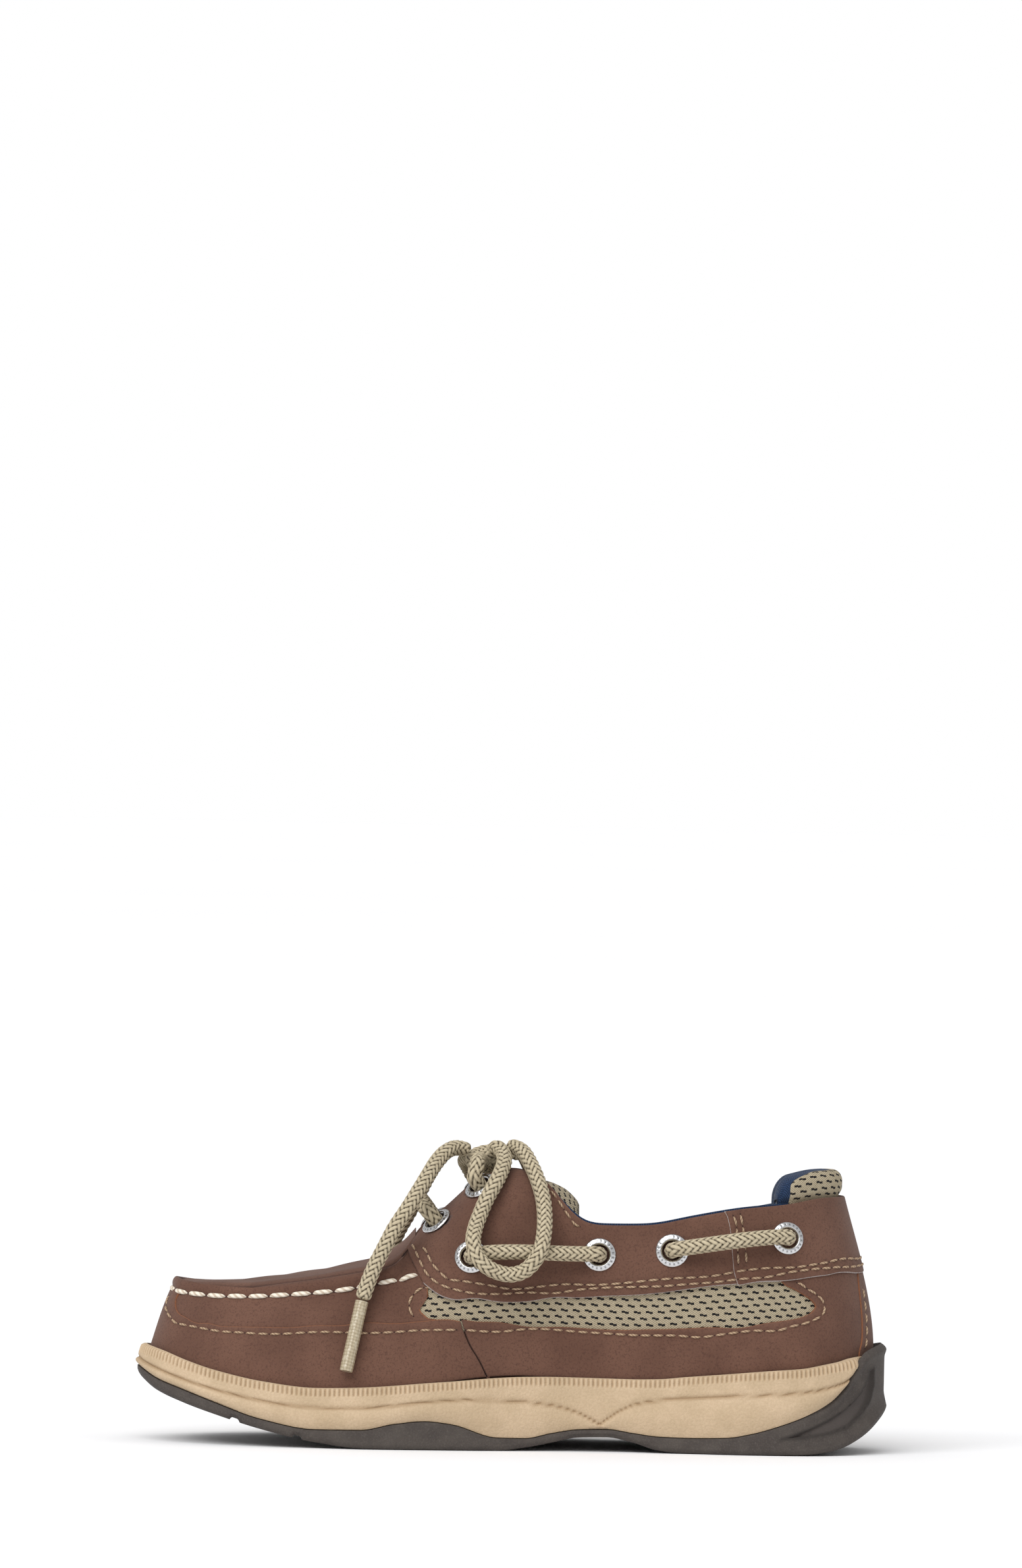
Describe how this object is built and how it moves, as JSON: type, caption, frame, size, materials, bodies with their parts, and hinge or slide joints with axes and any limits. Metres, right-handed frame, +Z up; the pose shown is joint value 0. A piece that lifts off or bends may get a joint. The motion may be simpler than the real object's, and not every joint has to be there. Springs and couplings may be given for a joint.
{
  "type": "boat shoe",
  "caption": "Low moccasin-toe boat shoe for a right foot: leather upper with a lace round the collar, foam midsole and dark rubber outsole.",
  "frame": {"origin": "on the floor under the middle of the sole's length and width", "axes": "+X from toe to heel, +Y towards the outer (lateral) side of the foot, +Z up"},
  "size_m": [0.222, 0.0872, 0.0909],
  "materials": {
    "brown_leather": "brown nubuck, fine speckled nap, matte",
    "dark_rubber": "dark grey-brown rubber, satin, fine texture",
    "tan_foam": "sandy tan foam, matte, vertical ribs at the rim",
    "navy_lining": "navy textile lining",
    "cream_mesh": "cream mesh with rows of short dark dashes",
    "eyelet_steel": "polished silver rings with a fine rope border",
    "khaki_braid": "round braided khaki lace",
    "lace_tip": "clear plastic tip over the khaki braid"
  },
  "bodies": {
    "root": {"outsole": "dark_rubber", "midsole": "tan_foam", "insole": "navy_lining", "upper": "brown_leather", "tongue": "cream_mesh", "collar_pad": "cream_mesh", "eyelet_medial_a": "eyelet_steel", "eyelet_medial_b": "eyelet_steel", "eyelet_medial_c": "eyelet_steel", "eyelet_medial_d": "eyelet_steel", "eyelet_medial_1": "eyelet_steel", "eyelet_medial_2": "eyelet_steel", "eyelet_lateral_a": "eyelet_steel", "eyelet_lateral_b": "eyelet_steel", "eyelet_lateral_c": "eyelet_steel", "eyelet_lateral_d": "eyelet_steel", "eyelet_lateral_1": "eyelet_steel", "eyelet_lateral_2": "eyelet_steel", "lace_medial_ab": "khaki_braid", "lace_medial_cd": "khaki_braid", "lace_lateral_ab": "khaki_braid", "lace_lateral_cd": "khaki_braid", "lace_throat": "khaki_braid", "lace_leg_medial": "khaki_braid", "lace_leg_lateral": "khaki_braid", "lace_knot": "khaki_braid", "lace_loop_medial": "khaki_braid", "lace_loop_lateral": "khaki_braid", "lace_end_medial": "khaki_braid", "lace_end_lateral": "khaki_braid", "aglet_medial": "lace_tip", "aglet_lateral": "lace_tip"}
  },
  "joints": []
}
